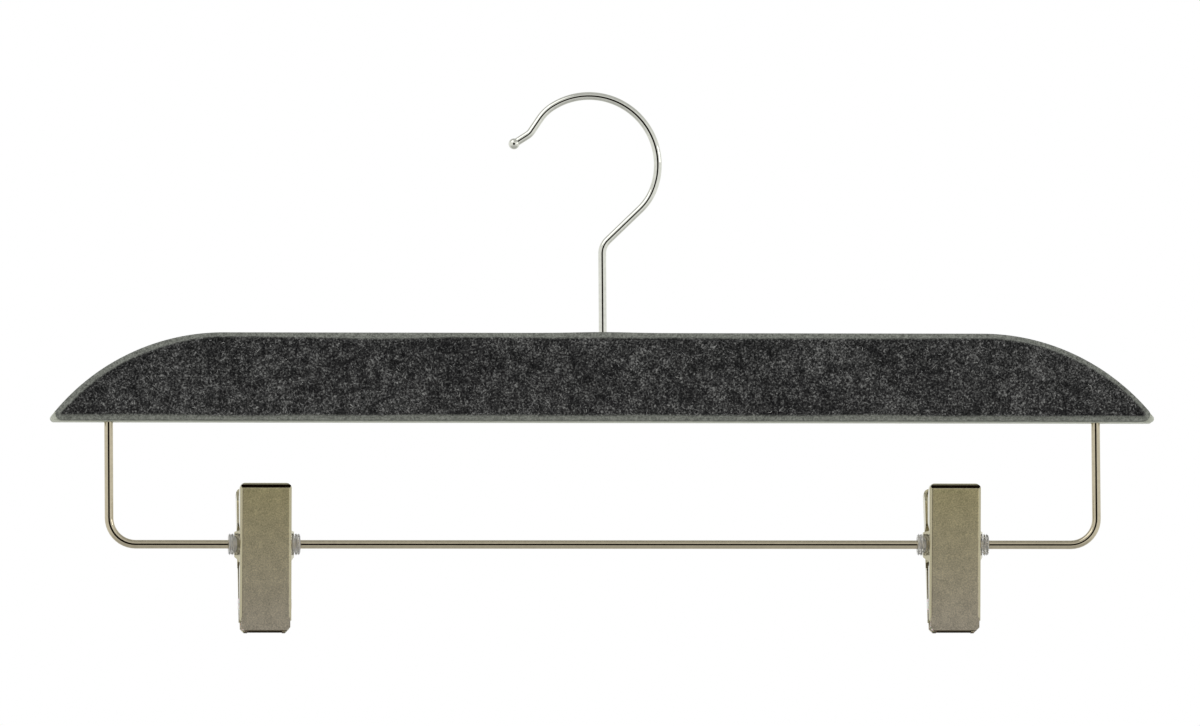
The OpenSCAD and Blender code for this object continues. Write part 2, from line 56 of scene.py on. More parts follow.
# The camera stands where the photo was taken: far off, a little to the left and a little below
photoView = {
    "widthPixels": 1200,
    "mmPerPixel": 0.379,             # at the hanger, square to the view
    "distance": 7.0,                 # metres
    "azimuth": -6.0,                 # degrees, from the left of the front
    "elevation": -5.0,               # degrees, from below
    "roll": -0.43,                   # degrees
    "aim": (-1.14, 0.0, -99.79),     # mm, what the middle of the photo shows
    "reach": (0.1, 60.0),            # metres, the nearest and farthest that the camera sees
}


def towards(azimuth, elevation):     # unit vector from the hanger in that direction
    a, e = math.radians(azimuth), math.radians(elevation)
    return Vector((math.sin(a) * math.cos(e), -math.cos(a) * math.cos(e), math.sin(e)))


def makeCamera(view):
    data = bpy.data.cameras.new("photoCamera")
    data.lens = data.sensor_width * view["distance"] / (view["widthPixels"] * view["mmPerPixel"] * mm)
    data.clip_start, data.clip_end = view["reach"]
    camera = bpy.data.objects.new("photoCamera", data)
    bpy.context.collection.objects.link(camera)
    back = towards(view["azimuth"], view["elevation"])
    camera.location = Vector(view["aim"]) * mm + back * view["distance"]
    turn = (-back).to_track_quat("-Z", "Y").to_matrix().to_4x4()
    camera.rotation_euler = (turn @ Matrix.Rotation(math.radians(view["roll"]), 4, "Z")).to_euler()
    bpy.context.scene.camera = camera


makeCamera(photoView)
print("camera placed")


# Colours and nodes
def linear(hexColour):               # sRGB hex to linear, as shader colours are
    parts = [int(hexColour[i:i + 2], 16) / 255 for i in (1, 3, 5)]
    return tuple(p / 12.92 if p <= 0.04045 else ((p + 0.055) / 1.055) ** 2.4 for p in parts) + (1.0,)


def setInputs(node, inputs):         # links what is a socket, and sets what is a plain value
    for key, value in inputs.items():
        if isinstance(value, bpy.types.NodeSocket):
            node.id_data.links.new(value, node.inputs[key])
        else:
            node.inputs[key].default_value = value


# A Mix node's two inputs are sockets 4 and 5 for vectors, 6 and 7 for colours, and its output 1 or 2
def addNode(tree, kind, inputs=None, **settings):
    node = tree.nodes.new("ShaderNode" + kind)
    for name, value in settings.items():
        setattr(node, name, value)
    setInputs(node, inputs or {})
    return node


def newMaterial(name):
    material = bpy.data.materials.new(name)
    material.use_nodes = True
    tree = material.node_tree
    tree.nodes.clear()
    surface = addNode(tree, "BsdfPrincipled")
    addNode(tree, "OutputMaterial", {"Surface": surface.outputs[0]})
    return material, tree, surface


def setRamp(ramp, stops):            # stops are (place, colour)
    points = ramp.color_ramp.elements
    while len(points) < len(stops):
        points.new(0.5)
    for point, (where, colour) in zip(points, stops):
        point.position = where
        point.color = linear(colour)
    return ramp.outputs[0]


# Light: a white tent, darker just round the camera, where the metal shows its dark middle line
studio = {
    "ambient": 0.80,                 # what falls on matt surfaces from all round
    "tent": "#FAFBF8",               # what metal shows of the tent
    "ceiling": 0.62,                 # how bright the tent is above and below, beside its sides
    "ceilingInner": 35.0,            # degrees from straight up or down, fully that bright
    "ceilingOuter": 75.0,            # degrees, as bright as the sides
    "lens": "#150C05",               # the dark place round the camera
    "lensInner": 21.5,               # degrees from its middle, fully dark
    "lensOuter": 29.0,               # degrees, fully light
    "floor": "#F1F1EF",
    "floorRoughness": 0.9,
    "floorLevel": -0.78,             # metres, under the camera
    "floorReach": 30.0,              # metres to each side
    "lamps": [                       # azimuth, elevation, distance, size (m), power (W)
        (-52.0, 50.0, 2.2, 1.6, 9.0),
        (62.0, 14.0, 2.0, 0.36, 1.6),
    ],
}


def makeWorld(light):
    world = bpy.data.worlds.new("studioTent")
    bpy.context.scene.world = world
    world.use_nodes = True
    tree = world.node_tree
    tree.nodes.clear()
    ray = addNode(tree, "LightPath").outputs
    direction = addNode(tree, "TexCoord").outputs["Generated"]

    def glow(middle, inner, outer, near, far):  # a level that changes with the angle from that vector
        dot = addNode(tree, "VectorMath", {0: direction, 1: tuple(middle)}, operation="DOT_PRODUCT")
        return addNode(tree, "MapRange", {
            "Value": dot.outputs["Value"], "From Min": math.cos(math.radians(outer)),
            "From Max": math.cos(math.radians(inner)), "To Min": far, "To Max": near,
        }, interpolation_type="SMOOTHSTEP").outputs[0]

    camera = towards(photoView["azimuth"], photoView["elevation"])
    dark = glow(camera, light["lensInner"], light["lensOuter"], 1.0, 0.0)
    above, below = [
        glow((0, 0, up), light["ceilingInner"], light["ceilingOuter"], light["ceiling"], 1.0)
        for up in (1, -1)]
    level = addNode(tree, "Math", {0: above, 1: below}, operation="MULTIPLY").outputs[0]
    bright = addNode(tree, "VectorMath", {
        0: linear(light["tent"])[:3], "Scale": level}, operation="SCALE").outputs[0]
    seen = addNode(tree, "Mix", {
        "Factor": dark, 6: bright, 7: linear(light["lens"])}, data_type="RGBA").outputs[2]
    white = (1.0, 1.0, 1.0, 1.0)
    ambient = addNode(tree, "Background", {"Color": white, "Strength": light["ambient"]}).outputs[0]
    tent = addNode(tree, "Background", {"Color": seen, "Strength": 1.0}).outputs[0]
    backdrop = addNode(tree, "Background", {"Color": white, "Strength": 1.0}).outputs[0]
    around = addNode(tree, "MixShader", {0: ray["Is Glossy Ray"], 1: ambient, 2: tent}).outputs[0]
    direct = addNode(tree, "Math", {
        0: ray["Is Camera Ray"], 1: ray["Is Transmission Ray"]}, operation="MAXIMUM").outputs[0]
    final = addNode(tree, "MixShader", {0: direct, 1: around, 2: backdrop}).outputs[0]
    addNode(tree, "OutputWorld", {"Surface": final})


def makeLamps(light):
    for i, (azimuth, elevation, distance, size, power) in enumerate(light["lamps"]):
        data = bpy.data.lights.new("softbox%d" % i, "AREA")
        data.shape = "SQUARE"
        data.size = size
        data.energy = power
        lamp = bpy.data.objects.new("softbox%d" % i, data)
        bpy.context.collection.objects.link(lamp)
        back = towards(azimuth, elevation)
        lamp.location = Vector(photoView["aim"]) * mm + back * distance
        lamp.rotation_euler = back.to_track_quat("Z", "Y").to_euler()


def mattPaper(name, light):          # pale paper, open from below and in mirrors, which show the tent
    material, tree, surface = newMaterial(name)
    setInputs(surface, {"Base Color": linear(light["floor"]), "Roughness": light["floorRoughness"]})
    under = addNode(tree, "NewGeometry").outputs["Backfacing"]
    mirrored = addNode(tree, "LightPath").outputs["Is Glossy Ray"]
    unseen = addNode(tree, "Math", {0: under, 1: mirrored}, operation="MAXIMUM").outputs[0]
    clear = addNode(tree, "BsdfTransparent").outputs[0]
    mixed = addNode(tree, "MixShader", {0: unseen, 1: surface.outputs[0], 2: clear}).outputs[0]
    setInputs(tree.nodes["Material Output"], {"Surface": mixed})
    return material


def makeFloor(light):
    mesh = bpy.data.meshes.new("paleFloor")
    reach, level = light["floorReach"], light["floorLevel"]
    corners = [(x * reach, y * reach, level) for x, y in ((-1, -1), (1, -1), (1, 1), (-1, 1))]
    mesh.from_pydata(corners, [], [(0, 1, 2, 3)])
    mesh.materials.append(mattPaper("matt paper, rolled out, no visible grain", light))
    floor = bpy.data.objects.new("paleFloor", mesh)
    bpy.context.collection.objects.link(floor)


makeWorld(studio)
makeLamps(studio)
makeFloor(studio)
bpy.context.scene.view_settings.view_transform = "Standard"
print("studio lit")


# The clips' measures, in mm, as they are made
clip = {
    "faceOff": 8.4,                  # from the bar's middle to a shell's outer face
    "sheet": 0.8,
    "up": 23.4,                      # from the bar's middle to the clip's top
    "down": 32.6,
    "jawMeet": 3.25,                 # depth from the outer face to where the jaws meet, at the bottom
    "frontLean": 6.0,                # degrees
    "halfWidth": 9.8,
}
meetLean = math.degrees(math.atan((clip["faceOff"] - clip["jawMeet"]) / clip["down"]))
rearLean = 2 * meetLean - clip["frontLean"]


def clipCentre(side):                # the middle of the clip's sleeve, on the bar's axis
    outer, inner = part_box(side + "_outer_bush"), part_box(side + "_inner_bush")
    low = [min(outer[0][i], inner[0][i]) for i in range(3)]
    high = [max(outer[1][i], inner[1][i]) for i in range(3)]
    return Vector([(low[i] + high[i]) / 2 for i in range(3)])


def shellFrame(side, jaw):           # from a shell's frame (x across, y depth inwards, z up) to the part's
    lean, flip = (clip["frontLean"], 1) if jaw == "front" else (-rearLean, -1)
    move = Matrix.Translation(clipCentre(side))
    turn = Matrix.Rotation(math.radians(lean), 4, "X")
    return move @ turn @ Matrix.Diagonal((1, flip, 1, 1)) @ Matrix.Translation((0, -clip["faceOff"] * mm, 0))


# Metals
wireLooks = {
    "hook": {"colour": "#DADAD3", "roughness": 0.035},
    "bar": {"colour": "#C1B7A1", "roughness": 0.045},
    "roughSpots": 0.03,              # how much rougher the dullest spots are
    "spot": 1.4,                     # mm across the faint spots, larger than they are, or they wouldn't show
}


def platedWire(name, look):          # bright nickel on drawn steel wire: a mirror, blurred a little in spots
    material, tree, surface = newMaterial(name)
    place = addNode(tree, "TexCoord").outputs["Object"]
    spots = addNode(tree, "TexNoise", {
        "Vector": place, "Scale": 1 / (wireLooks["spot"] * mm), "Detail": 3.0}).outputs[0]
    shade = addNode(tree, "MapRange", {
        "Value": spots, "From Min": 0.3, "From Max": 0.7, "To Min": 0.92, "To Max": 1.06}).outputs[0]
    tone = addNode(tree, "VectorMath", {0: linear(look["colour"])[:3], "Scale": shade}, operation="SCALE")
    rough = addNode(tree, "MapRange", {
        "Value": spots, "From Min": 0.35, "From Max": 0.7,
        "To Min": look["roughness"], "To Max": look["roughness"] + wireLooks["roughSpots"]})
    bump = addNode(tree, "Bump", {"Strength": 0.05, "Distance": 0.02 * mm, "Height": spots})
    setInputs(surface, {
        "Base Color": tone.outputs[0], "Metallic": 1.0,
        "Roughness": rough.outputs[0], "Normal": bump.outputs[0]})
    return material


metalLooks = {                       # spot is mm across the faint spots that handling leaves
    "brass": {"colour": "#C9A45C", "roughness": 0.25, "spot": 0.3},
    "spring": {"colour": "#A3A19B", "roughness": 0.28, "spot": 0.4},
}


def plainMetal(name, look):          # bare turned or drawn metal: a dull shine with faint spots
    material, tree, surface = newMaterial(name)
    place = addNode(tree, "TexCoord").outputs["Object"]
    spots = addNode(tree, "TexNoise", {
        "Vector": place, "Scale": 1 / (look["spot"] * mm), "Detail": 2.0}).outputs[0]
    shade = addNode(tree, "MapRange", {
        "Value": spots, "From Min": 0.3, "From Max": 0.7, "To Min": 0.88, "To Max": 1.08}).outputs[0]
    tone = addNode(tree, "VectorMath", {0: linear(look["colour"])[:3], "Scale": shade}, operation="SCALE")
    rough = addNode(tree, "MapRange", {
        "Value": spots, "To Min": look["roughness"] * 0.7, "To Max": look["roughness"] * 1.3})
    setInputs(surface, {"Base Color": tone.outputs[0], "Metallic": 1.0, "Roughness": rough.outputs[0]})
    return material


sheetLook = {
    "top": "#CABF93",                # warmer at the top, blending to paler at the bottom by height
    "bottom": "#CFC5B3",
    "bend": "#B6AF95",               # where the die has burnished it
    "line": "#776D5B",               # painted dark reflection along the lower lip's outer bend
    "grain": 0.45,                   # mm, the pressed sheet's fine orange peel
    "cloud": 4.05,                   # mm, patches of thicker and thinner plating
    "edge": 0.12,                    # mm, how far the sheet's cut edges are broken by tumbling
    "flatRoughness": 0.47,
    "bendRoughness": 0.10,
    "flatFrom": (0.955, 0.99),       # cosines of the tilt, from a bend's bright metal to the satin face
    "sideFrom": (0.30, 0.06),        # sines of the tilt sideways, from the side bends to the middle
    # Each pair is a height in mm, and over how many mm to each side of it the look changes
    "mirrorFoot": (1.68, 0.30),      # below the top: a strip pressed flat and bright beside the fold
    "mirrorHead": (0.52, 0.10),
    "lowFlat": (1.10, 0.10),         # above the bottom: pressed flat too
    # Above the bottom: where the painted dark reflection line lies
    "paintedReflectionLine": (0.395, 0.125),
}


def platedSheet(name, look, place):  # satin nickel on steel sheet: a soft sheen, its bends drawn bright
    material, tree, surface = newMaterial(name)
    turn = place.to_3x3()
    outward, along = turn @ Vector((0, -1, 0)), turn @ Vector((0, 0, 1)) / mm
    coordinates = addNode(tree, "TexCoord").outputs
    spot, normal = coordinates["Object"], coordinates["Normal"]
    facing = addNode(tree, "VectorMath", {
        0: normal, 1: tuple(outward)}, operation="DOT_PRODUCT").outputs["Value"]
    square = addNode(tree, "Math", {0: facing}, operation="ABSOLUTE").outputs[0]
    across = addNode(tree, "VectorMath", {
        0: normal, 1: (1, 0, 0)}, operation="DOT_PRODUCT").outputs["Value"]
    sideways = addNode(tree, "Math", {0: across}, operation="ABSOLUTE").outputs[0]
    risen = addNode(tree, "VectorMath", {
        0: spot, 1: tuple(along)}, operation="DOT_PRODUCT").outputs["Value"]
    start = (place @ Vector((0, 0, 0))).dot(along)
    height = addNode(tree, "Math", {0: risen, 1: -start}, operation="ADD").outputs[0]

    def below(level, soft):          # 1 below that height on the clip, 0 above it
        return addNode(tree, "MapRange", {
            "Value": height, "From Min": level + soft, "From Max": level - soft,
        }, interpolation_type="SMOOTHSTEP").outputs[0]

    def above(level, soft):
        return addNode(tree, "Math", {0: 1.0, 1: below(level, soft)}, operation="SUBTRACT").outputs[0]

    # Where the sheet was pressed flat, and where the flat parts keep their satin
    low, high = -clip["down"], clip["up"]
    middle = addNode(tree, "MapRange", {
        "Value": sideways, "From Min": look["sideFrom"][0], "From Max": look["sideFrom"][1],
    }, interpolation_type="SMOOTHSTEP").outputs[0]
    foot, head = look["mirrorFoot"], look["mirrorHead"]
    strip = addNode(tree, "Math", {
        0: above(high - foot[0], foot[1]),
        1: below(high - head[0], head[1])}, operation="MULTIPLY").outputs[0]
    mirror = addNode(tree, "Math", {0: strip, 1: middle}, operation="MULTIPLY").outputs[0]
    lowFlat = addNode(tree, "Math", {
        0: below(low + look["lowFlat"][0], look["lowFlat"][1]), 1: middle}, operation="MULTIPLY").outputs[0]
    # Painted dark reflection: a dark line low on the lip, as the bend would mirror the dark room
    paintedReflectionLine = below(low + look["paintedReflectionLine"][0], look["paintedReflectionLine"][1])
    face = addNode(tree, "MapRange", {
        "Value": square, "From Min": look["flatFrom"][0], "From Max": look["flatFrom"][1],
    }, interpolation_type="SMOOTHSTEP").outputs[0]
    faces = addNode(tree, "Math", {0: face, 1: lowFlat}, operation="MAXIMUM").outputs[0]
    notMirror = addNode(tree, "Math", {0: 1.0, 1: mirror}, operation="SUBTRACT").outputs[0]
    flat = addNode(tree, "Math", {0: faces, 1: notMirror}, operation="MULTIPLY").outputs[0]

    up = addNode(tree, "MapRange", {"Value": height, "From Min": low, "From Max": high}).outputs[0]
    tint = addNode(tree, "Mix", {
        "Factor": up, 6: linear(look["bottom"]), 7: linear(look["top"])}, data_type="RGBA").outputs[2]
    grain = addNode(tree, "TexNoise", {
        "Vector": spot, "Scale": 1 / (look["grain"] * mm), "Detail": 2.0, "Roughness": 0.6}).outputs[0]
    cloud = addNode(tree, "TexNoise", {
        "Vector": spot, "Scale": 1 / (look["cloud"] * mm), "Detail": 2.0}).outputs[0]
    both = addNode(tree, "Math", {0: cloud, 1: 0.3, 2: grain}, operation="MULTIPLY_ADD").outputs[0]
    shade = addNode(tree, "MapRange", {
        "Value": both, "From Min": 0.4, "From Max": 0.9, "To Min": 0.66, "To Max": 1.32}).outputs[0]
    mottled = addNode(tree, "VectorMath", {0: tint, "Scale": shade}, operation="SCALE").outputs[0]
    colour = addNode(tree, "Mix", {
        "Factor": flat, 6: linear(look["bend"]), 7: mottled}, data_type="RGBA").outputs[2]
    # The painted dark reflection goes over the colour along the lower lip
    final = addNode(tree, "Mix", {
        "Factor": paintedReflectionLine, 6: colour, 7: linear(look["line"])}, data_type="RGBA").outputs[2]
    rough = addNode(tree, "MapRange", {
        "Value": flat, "To Min": look["bendRoughness"], "To Max": look["flatRoughness"]}).outputs[0]

    # In the flattened strips the surface leans to the face, and the cut edges are rounded
    soft = addNode(tree, "Bevel", {"Radius": look["edge"] * mm}, samples=4).outputs[0]
    turned = addNode(tree, "VectorTransform", {
        0: tuple(outward)}, vector_type="NORMAL", convert_from="OBJECT", convert_to="WORLD").outputs[0]
    side = addNode(tree, "Math", {0: facing}, operation="SIGN").outputs[0]
    level = addNode(tree, "VectorMath", {0: turned, "Scale": side}, operation="SCALE").outputs[0]
    pressed = addNode(tree, "Math", {0: mirror, 1: lowFlat}, operation="MAXIMUM").outputs[0]
    leaning = addNode(tree, "Mix", {"Factor": pressed, 4: soft, 5: level}, data_type="VECTOR").outputs[1]
    bump = addNode(tree, "Bump", {
        "Strength": 0.12, "Distance": 0.05 * mm, "Height": grain, "Normal": leaning}).outputs[0]
    setInputs(surface, {"Base Color": final, "Metallic": 1.0, "Roughness": rough, "Normal": bump})
    return material


# Board, felt and plastics
boardLook = {
    "dark": "#A9AD9D",
    "light": "#CDD0C4",
    "fibre": 1.6,                    # mm long, and a quarter of that across
    "roughness": 0.62,
}


def fibreboard(name, look):          # sealed pale fibreboard, sawn: matt, with short fibres along the edge
    material, tree, surface = newMaterial(name)
    place = addNode(tree, "TexCoord").outputs["Object"]
    drawn = addNode(tree, "Mapping", {"Vector": place, "Scale": (1.0, 4.0, 4.0)}).outputs[0]
    fibres = addNode(tree, "TexNoise", {
        "Vector": drawn, "Scale": 1 / (look["fibre"] * mm), "Detail": 4.0, "Roughness": 0.65}).outputs[0]
    ramp = addNode(tree, "ValToRGB", {0: fibres})
    bump = addNode(tree, "Bump", {"Strength": 0.2, "Distance": 0.05 * mm, "Height": fibres})
    setInputs(surface, {
        "Base Color": setRamp(ramp, [(0.3, look["dark"]), (0.7, look["light"])]),
        "Roughness": look["roughness"], "Normal": bump.outputs[0]})
    return material


feltLook = {
    "field": ["#0E0E0F", "#2C2C2C", "#5A5A59", "#8C8C8A"],  # from the gaps between fibres to single hairs
    # Painted light: the rim's paler greys stand for light caught on its rounded edge
    "rim": ["#5C5E59", "#989B93"],
    # Painted shadow: the dark grey of the gap between the cover's edge and the core
    "edge": "#4A4C49",
    "cloud": 22.0,                   # mm, where the carding left the wool denser or thinner
    "clump": 3.2,                    # mm, tufts of fibre
    "fleck": 0.75,                   # mm, fibres, about twice as coarse as they are, or they wouldn't show
    "cloudShare": 0.12,
    "clumpShare": 0.30,
    "roughness": 0.95,
}


def needledFelt(name, look):         # wool and polyester, needled, pressed hot: matt, flecked, its rim painted paler as light on a rounded edge
    material, tree, surface = newMaterial(name)
    place = addNode(tree, "TexCoord").outputs["Object"]
    flecks = addNode(tree, "TexNoise", {
        "Vector": place, "Scale": 1 / (look["fleck"] * mm),
        "Detail": 3.0, "Roughness": 0.7, "Distortion": 0.6}).outputs[0]
    clumps = addNode(tree, "TexNoise", {
        "Vector": place, "Scale": 1 / (look["clump"] * mm), "Detail": 2.0, "Roughness": 0.6}).outputs[0]
    clouds = addNode(tree, "TexNoise", {
        "Vector": place, "Scale": 1 / (look["cloud"] * mm), "Detail": 1.0}).outputs[0]
    both = addNode(tree, "Math", {
        0: clumps, 1: look["clumpShare"], 2: flecks}, operation="MULTIPLY_ADD").outputs[0]
    three = addNode(tree, "Math", {
        0: clouds, 1: look["cloudShare"], 2: both}, operation="MULTIPLY_ADD").outputs[0]
    spread = addNode(tree, "MapRange", {"Value": three, "From Min": 0.515, "From Max": 0.955}).outputs[0]
    field = setRamp(addNode(tree, "ValToRGB", {0: spread}), list(zip((0.15, 0.45, 0.68, 0.9), look["field"])))
    rim = setRamp(addNode(tree, "ValToRGB", {0: flecks}), list(zip((0.35, 0.65), look["rim"])))
    rimLightShare = addNode(tree, "Attribute", attribute_name="rimLightShare").outputs["Fac"]
    edgeShadowShare = addNode(tree, "Attribute", attribute_name="edgeShadowShare").outputs["Fac"]
    # The rim's painted light replaces the field's colour near the outline
    colour = addNode(tree, "Mix", {"Factor": rimLightShare, 6: field, 7: rim}, data_type="RGBA").outputs[2]
    # The painted shadow at the cover's cut edge goes over all
    final = addNode(tree, "Mix", {
        "Factor": edgeShadowShare, 6: colour, 7: linear(look["edge"])}, data_type="RGBA").outputs[2]
    bump = addNode(tree, "Bump", {"Strength": 0.5, "Distance": 0.25 * mm, "Height": flecks})
    setInputs(surface, {
        "Base Color": final, "Roughness": look["roughness"], "Specular IOR Level": 0.1,
        "Sheen Weight": 0.03, "Sheen Roughness": 0.5, "Normal": bump.outputs[0]})
    return material


fibreLook = {
    "greys": [(0.0, "#1B1B1C"), (0.55, "#5E5E60"), (0.9, "#9A9A9A"), (1.0, "#D2D2CE")],
    "roughness": 0.8,
}


def looseFibre(name, look):          # carded wool fibres lying on the felt: matt, each with its own grey
    material, tree, surface = newMaterial(name)
    tone = addNode(tree, "Attribute", attribute_name="tone").outputs["Fac"]
    ramp = addNode(tree, "ValToRGB", {0: tone})
    setInputs(surface, {"Base Color": setRamp(ramp, look["greys"]), "Roughness": look["roughness"]})
    return material


sleeveLook = {
    "dark": "#E8E6E2",
    "light": "#F8F7F4",
    "cloud": 2.5,                    # mm, flow marks from the mould
    "roughness": 0.28,
    "clear": 0.76,                   # share of the light that goes through it
    "depth": 1.2,                    # mm that light spreads inside
}


def milkyPlastic(name, look):        # natural polypropylene, moulded: cloudy, the bar shows through faintly
    material, tree, surface = newMaterial(name)
    place = addNode(tree, "TexCoord").outputs["Object"]
    cloud = addNode(tree, "TexNoise", {"Vector": place, "Scale": 1 / (look["cloud"] * mm), "Detail": 2.0})
    ramp = addNode(tree, "ValToRGB", {0: cloud.outputs[0]})
    setInputs(surface, {
        "Base Color": setRamp(ramp, [(0.3, look["dark"]), (0.7, look["light"])]),
        "Roughness": look["roughness"], "IOR": 1.49, "Transmission Weight": look["clear"],
        "Subsurface Weight": 0.5, "Subsurface Radius": (1.0, 1.0, 1.0),
        "Subsurface Scale": look["depth"] * mm})
    return material


padLook = {
    "dark": "#DCDDDA",
    "light": "#ECECE9",
    "cloud": 1.5,                    # mm
    "roughness": 0.42,
    "depth": 0.8,                    # mm that light spreads inside
}


def softVinyl(name, look):           # plasticised vinyl, moulded: white, slightly waxy
    material, tree, surface = newMaterial(name)
    place = addNode(tree, "TexCoord").outputs["Object"]
    cloud = addNode(tree, "TexNoise", {
        "Vector": place, "Scale": 1 / (look["cloud"] * mm), "Detail": 3.0}).outputs[0]
    ramp = addNode(tree, "ValToRGB", {0: cloud})
    bump = addNode(tree, "Bump", {"Strength": 0.15, "Distance": 0.03 * mm, "Height": cloud})
    setInputs(surface, {
        "Base Color": setRamp(ramp, [(0.3, look["dark"]), (0.7, look["light"])]),
        "Roughness": look["roughness"], "IOR": 1.53, "Subsurface Weight": 0.25,
        "Subsurface Scale": look["depth"] * mm, "Normal": bump.outputs[0]})
    return material


def dress(names, material):
    for name in names:
        mesh = nodes[name].data
        mesh.materials.clear()
        mesh.materials.append(material)
        for polygon in mesh.polygons:
            polygon.material_index = 0


dress(["hook", "hook_washer"], platedWire("bright nickel on drawn wire", wireLooks["hook"]))
dress(["trouser_bar"], platedWire("warm nickel on drawn wire", wireLooks["bar"]))
dress(["hook_bush"], plainMetal("turned brass", metalLooks["brass"]))
dress(["core_board"], fibreboard("sealed fibreboard, sawn", boardLook))
sleevePlastic = milkyPlastic("natural polypropylene, moulded", sleeveLook)
for jaw in ("front", "rear"):
    plated = platedSheet("satin nickel on pressed sheet, " + jaw, sheetLook, shellFrame("left", jaw))
    dress(["left_" + jaw + "_shell", "right_" + jaw + "_shell"], plated)
for side in ("left", "right"):
    dress([side + "_outer_bush", side + "_inner_bush"], sleevePlastic)
print("metals and plastics dressed")


# Making pieces
def smooth(value, low, high):
    t = min(max((value - low) / (high - low), 0.0), 1.0)
    return t * t * (3 - 2 * t)


def newMesh(name, points, faces, rounded=True, shares=None):
    mesh = bpy.data.meshes.new(name)
    mesh.from_pydata(points, [], faces)
    for layerName, values in (shares or {}).items():
        mesh.attributes.new(layerName, "FLOAT", "POINT").data.foreach_set("value", values)
    mesh.polygons.foreach_set("use_smooth", [rounded] * len(faces))
    mesh.update()
    return mesh


def tubeFaces(first, rings, sides):  # of a closed tube, whose rings of points start at that number
    faces = []
    for i in range(rings - 1):
        for k in range(sides):
            a, b = first + i * sides + k, first + i * sides + (k + 1) % sides
            faces.append((a, b, b + sides, a + sides))
    last = first + (rings - 1) * sides
    faces.append(tuple(first + k for k in reversed(range(sides))))
    faces.append(tuple(last + k for k in range(sides)))
    return faces


def addPiece(name, mesh, material, body=None):
    piece = bpy.data.objects.new(name, mesh)
    bpy.context.collection.objects.link(piece)
    mesh.materials.append(material)
    if body:
        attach(piece, body)
    return piece


# Felt covers, in mm
felt = {
    "thick": 2.5,                    # raised field
    "reserve": 0.2,                  # kept free below that for crown, lumps and fibres
    "crown": 0.10,                   # how much the field rises from its rim inwards
    "crownReach": 9.0,
    "rimThick": 1.2,
    "rimWidth": 1.4,
    "rimWander": 0.8,                # how much the rim's width changes along the board
    "rimRagged": 0.28,               # how far single tufts reach over its inner edge
    "rimLightFade": 1.0,                  # over which the rim's painted light fades out
    "slope": 0.6,
    "endRadius": 83.5,
    "tipRound": 1.4,
    "cornerRadius": 2.6,
    "edgeRound": 0.45,               # over which the cut edge is worn down
    "edgeFall": 0.4,
    "edgeShadowFade": (0.1, 0.5),          # over which the painted shadow at the cut edge fades out
    "edgeShadowStrength": 0.35,                # share of that painted shadow at the edge, and on the cut side
    "sideShadowStrength": 0.9,
    "lump": 0.10,                    # how uneven the field is
    "fineLump": 0.07,
    "stemRise": 0.35,                # how far the top edge is pushed up at the stem
    "stemReach": 14.0,               # and how far to each side of it
    "stemDepth": 6.0,                # down from the top edge
    "columnStep": 0.9,
    "rows": 54,
    "rowCrowd": 1.55,                # rows lie closer towards the two long edges
    "endSteps": [0.0, 0.06, 0.18, 0.4, 0.7, 1.1, 1.5, 1.9, 2.2, 2.5, 2.8, 3.2, 3.7, 4.3],
}


def feltPlan(node):                  # sizes in mm that follow from the CAD cover
    lo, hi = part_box(node)
    front = node == "front_felt"
    coreLow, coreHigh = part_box("core_board")
    half, height = coreHigh[0] / mm, (coreHigh[2] - coreLow[2]) / mm
    r, tip = felt["endRadius"], felt["tipRound"]
    return {
        "left": lo[0] / mm, "right": hi[0] / mm, "low": lo[2] / mm, "high": hi[2] / mm,
        "back": (hi[1] if front else lo[1]) / mm,
        "out": -1 if front else 1,
        "arcX": half - tip - math.sqrt((r - tip) ** 2 - (r - height + tip) ** 2),
        "arcZ": coreHigh[2] / mm - r,
    }


def topEdge(plan, x):
    away = abs(x) - plan["arcX"]
    if away > 0:
        return plan["arcZ"] + math.sqrt(felt["endRadius"] ** 2 - away ** 2)
    return plan["high"]


def edgeDistance(plan, x, z):        # mm from the cover's outline, inside
    away = abs(x) - plan["arcX"]
    top = plan["high"] - z
    if away > 0:
        top = felt["endRadius"] - math.hypot(away, z - plan["arcZ"])
    side, bottom = plan["right"] - abs(x), z - plan["low"]
    r = felt["cornerRadius"]
    corner = bottom
    if side < r and bottom < r:
        corner = r - math.hypot(r - side, r - bottom)
    return max(min(top, side, bottom, corner), 0.0)


def rimWidth(plan, x, z):            # as pressed: tufts of 1.1 mm, and a wander 40 mm long and 20 high
    out = plan["out"]
    ragged = felt["rimRagged"] * noise.noise(Vector((x * 0.9, z * 0.9, out * 5.0)))
    wander = felt["rimWander"] * noise.noise(Vector((x * 0.025, z * 0.05, out * 8.0)))
    return felt["rimWidth"] + ragged + wander


def feltHeight(plan, x, z, distance):  # from the back, with lumps of 4 mm and fine ones of 0.9 mm
    rim = rimWidth(plan, x, z)
    up = smooth(distance, rim, rim + felt["slope"])
    edge = felt["edgeFall"] * (1 - min(distance / felt["edgeRound"], 1.0)) ** 2
    lumps = felt["lump"] * noise.noise(Vector((x * 0.25, z * 0.25, 3.0))) * up
    fine = felt["fineLump"] * noise.noise(Vector((x * 1.1, z * 1.1, 9.0))) * (0.3 + 0.7 * up)
    crown = felt["crown"] * smooth(distance, rim, felt["crownReach"])
    field = felt["thick"] - felt["reserve"] + crown + lumps + fine - felt["rimThick"]
    return felt["rimThick"] - edge + up * field + fine * 0.3


def gridSteps(plan):                 # where the cover's columns stand, and its rows as shares of the height
    width, ends = plan["right"] - plan["left"], felt["endSteps"]
    inner = int(width / felt["columnStep"]) - 2 * len(ends)
    span = width - 2 * ends[-1]
    columns = [plan["left"] + e for e in ends]
    columns += [plan["left"] + ends[-1] + span * (i + 1) / (inner + 1) for i in range(inner)]
    columns += [plan["right"] - e for e in reversed(ends)]
    half = felt["rows"] // 2
    lower = [0.5 * (i / half) ** felt["rowCrowd"] for i in range(half)]
    return columns, lower + [0.5] + [1 - share for share in reversed(lower)]


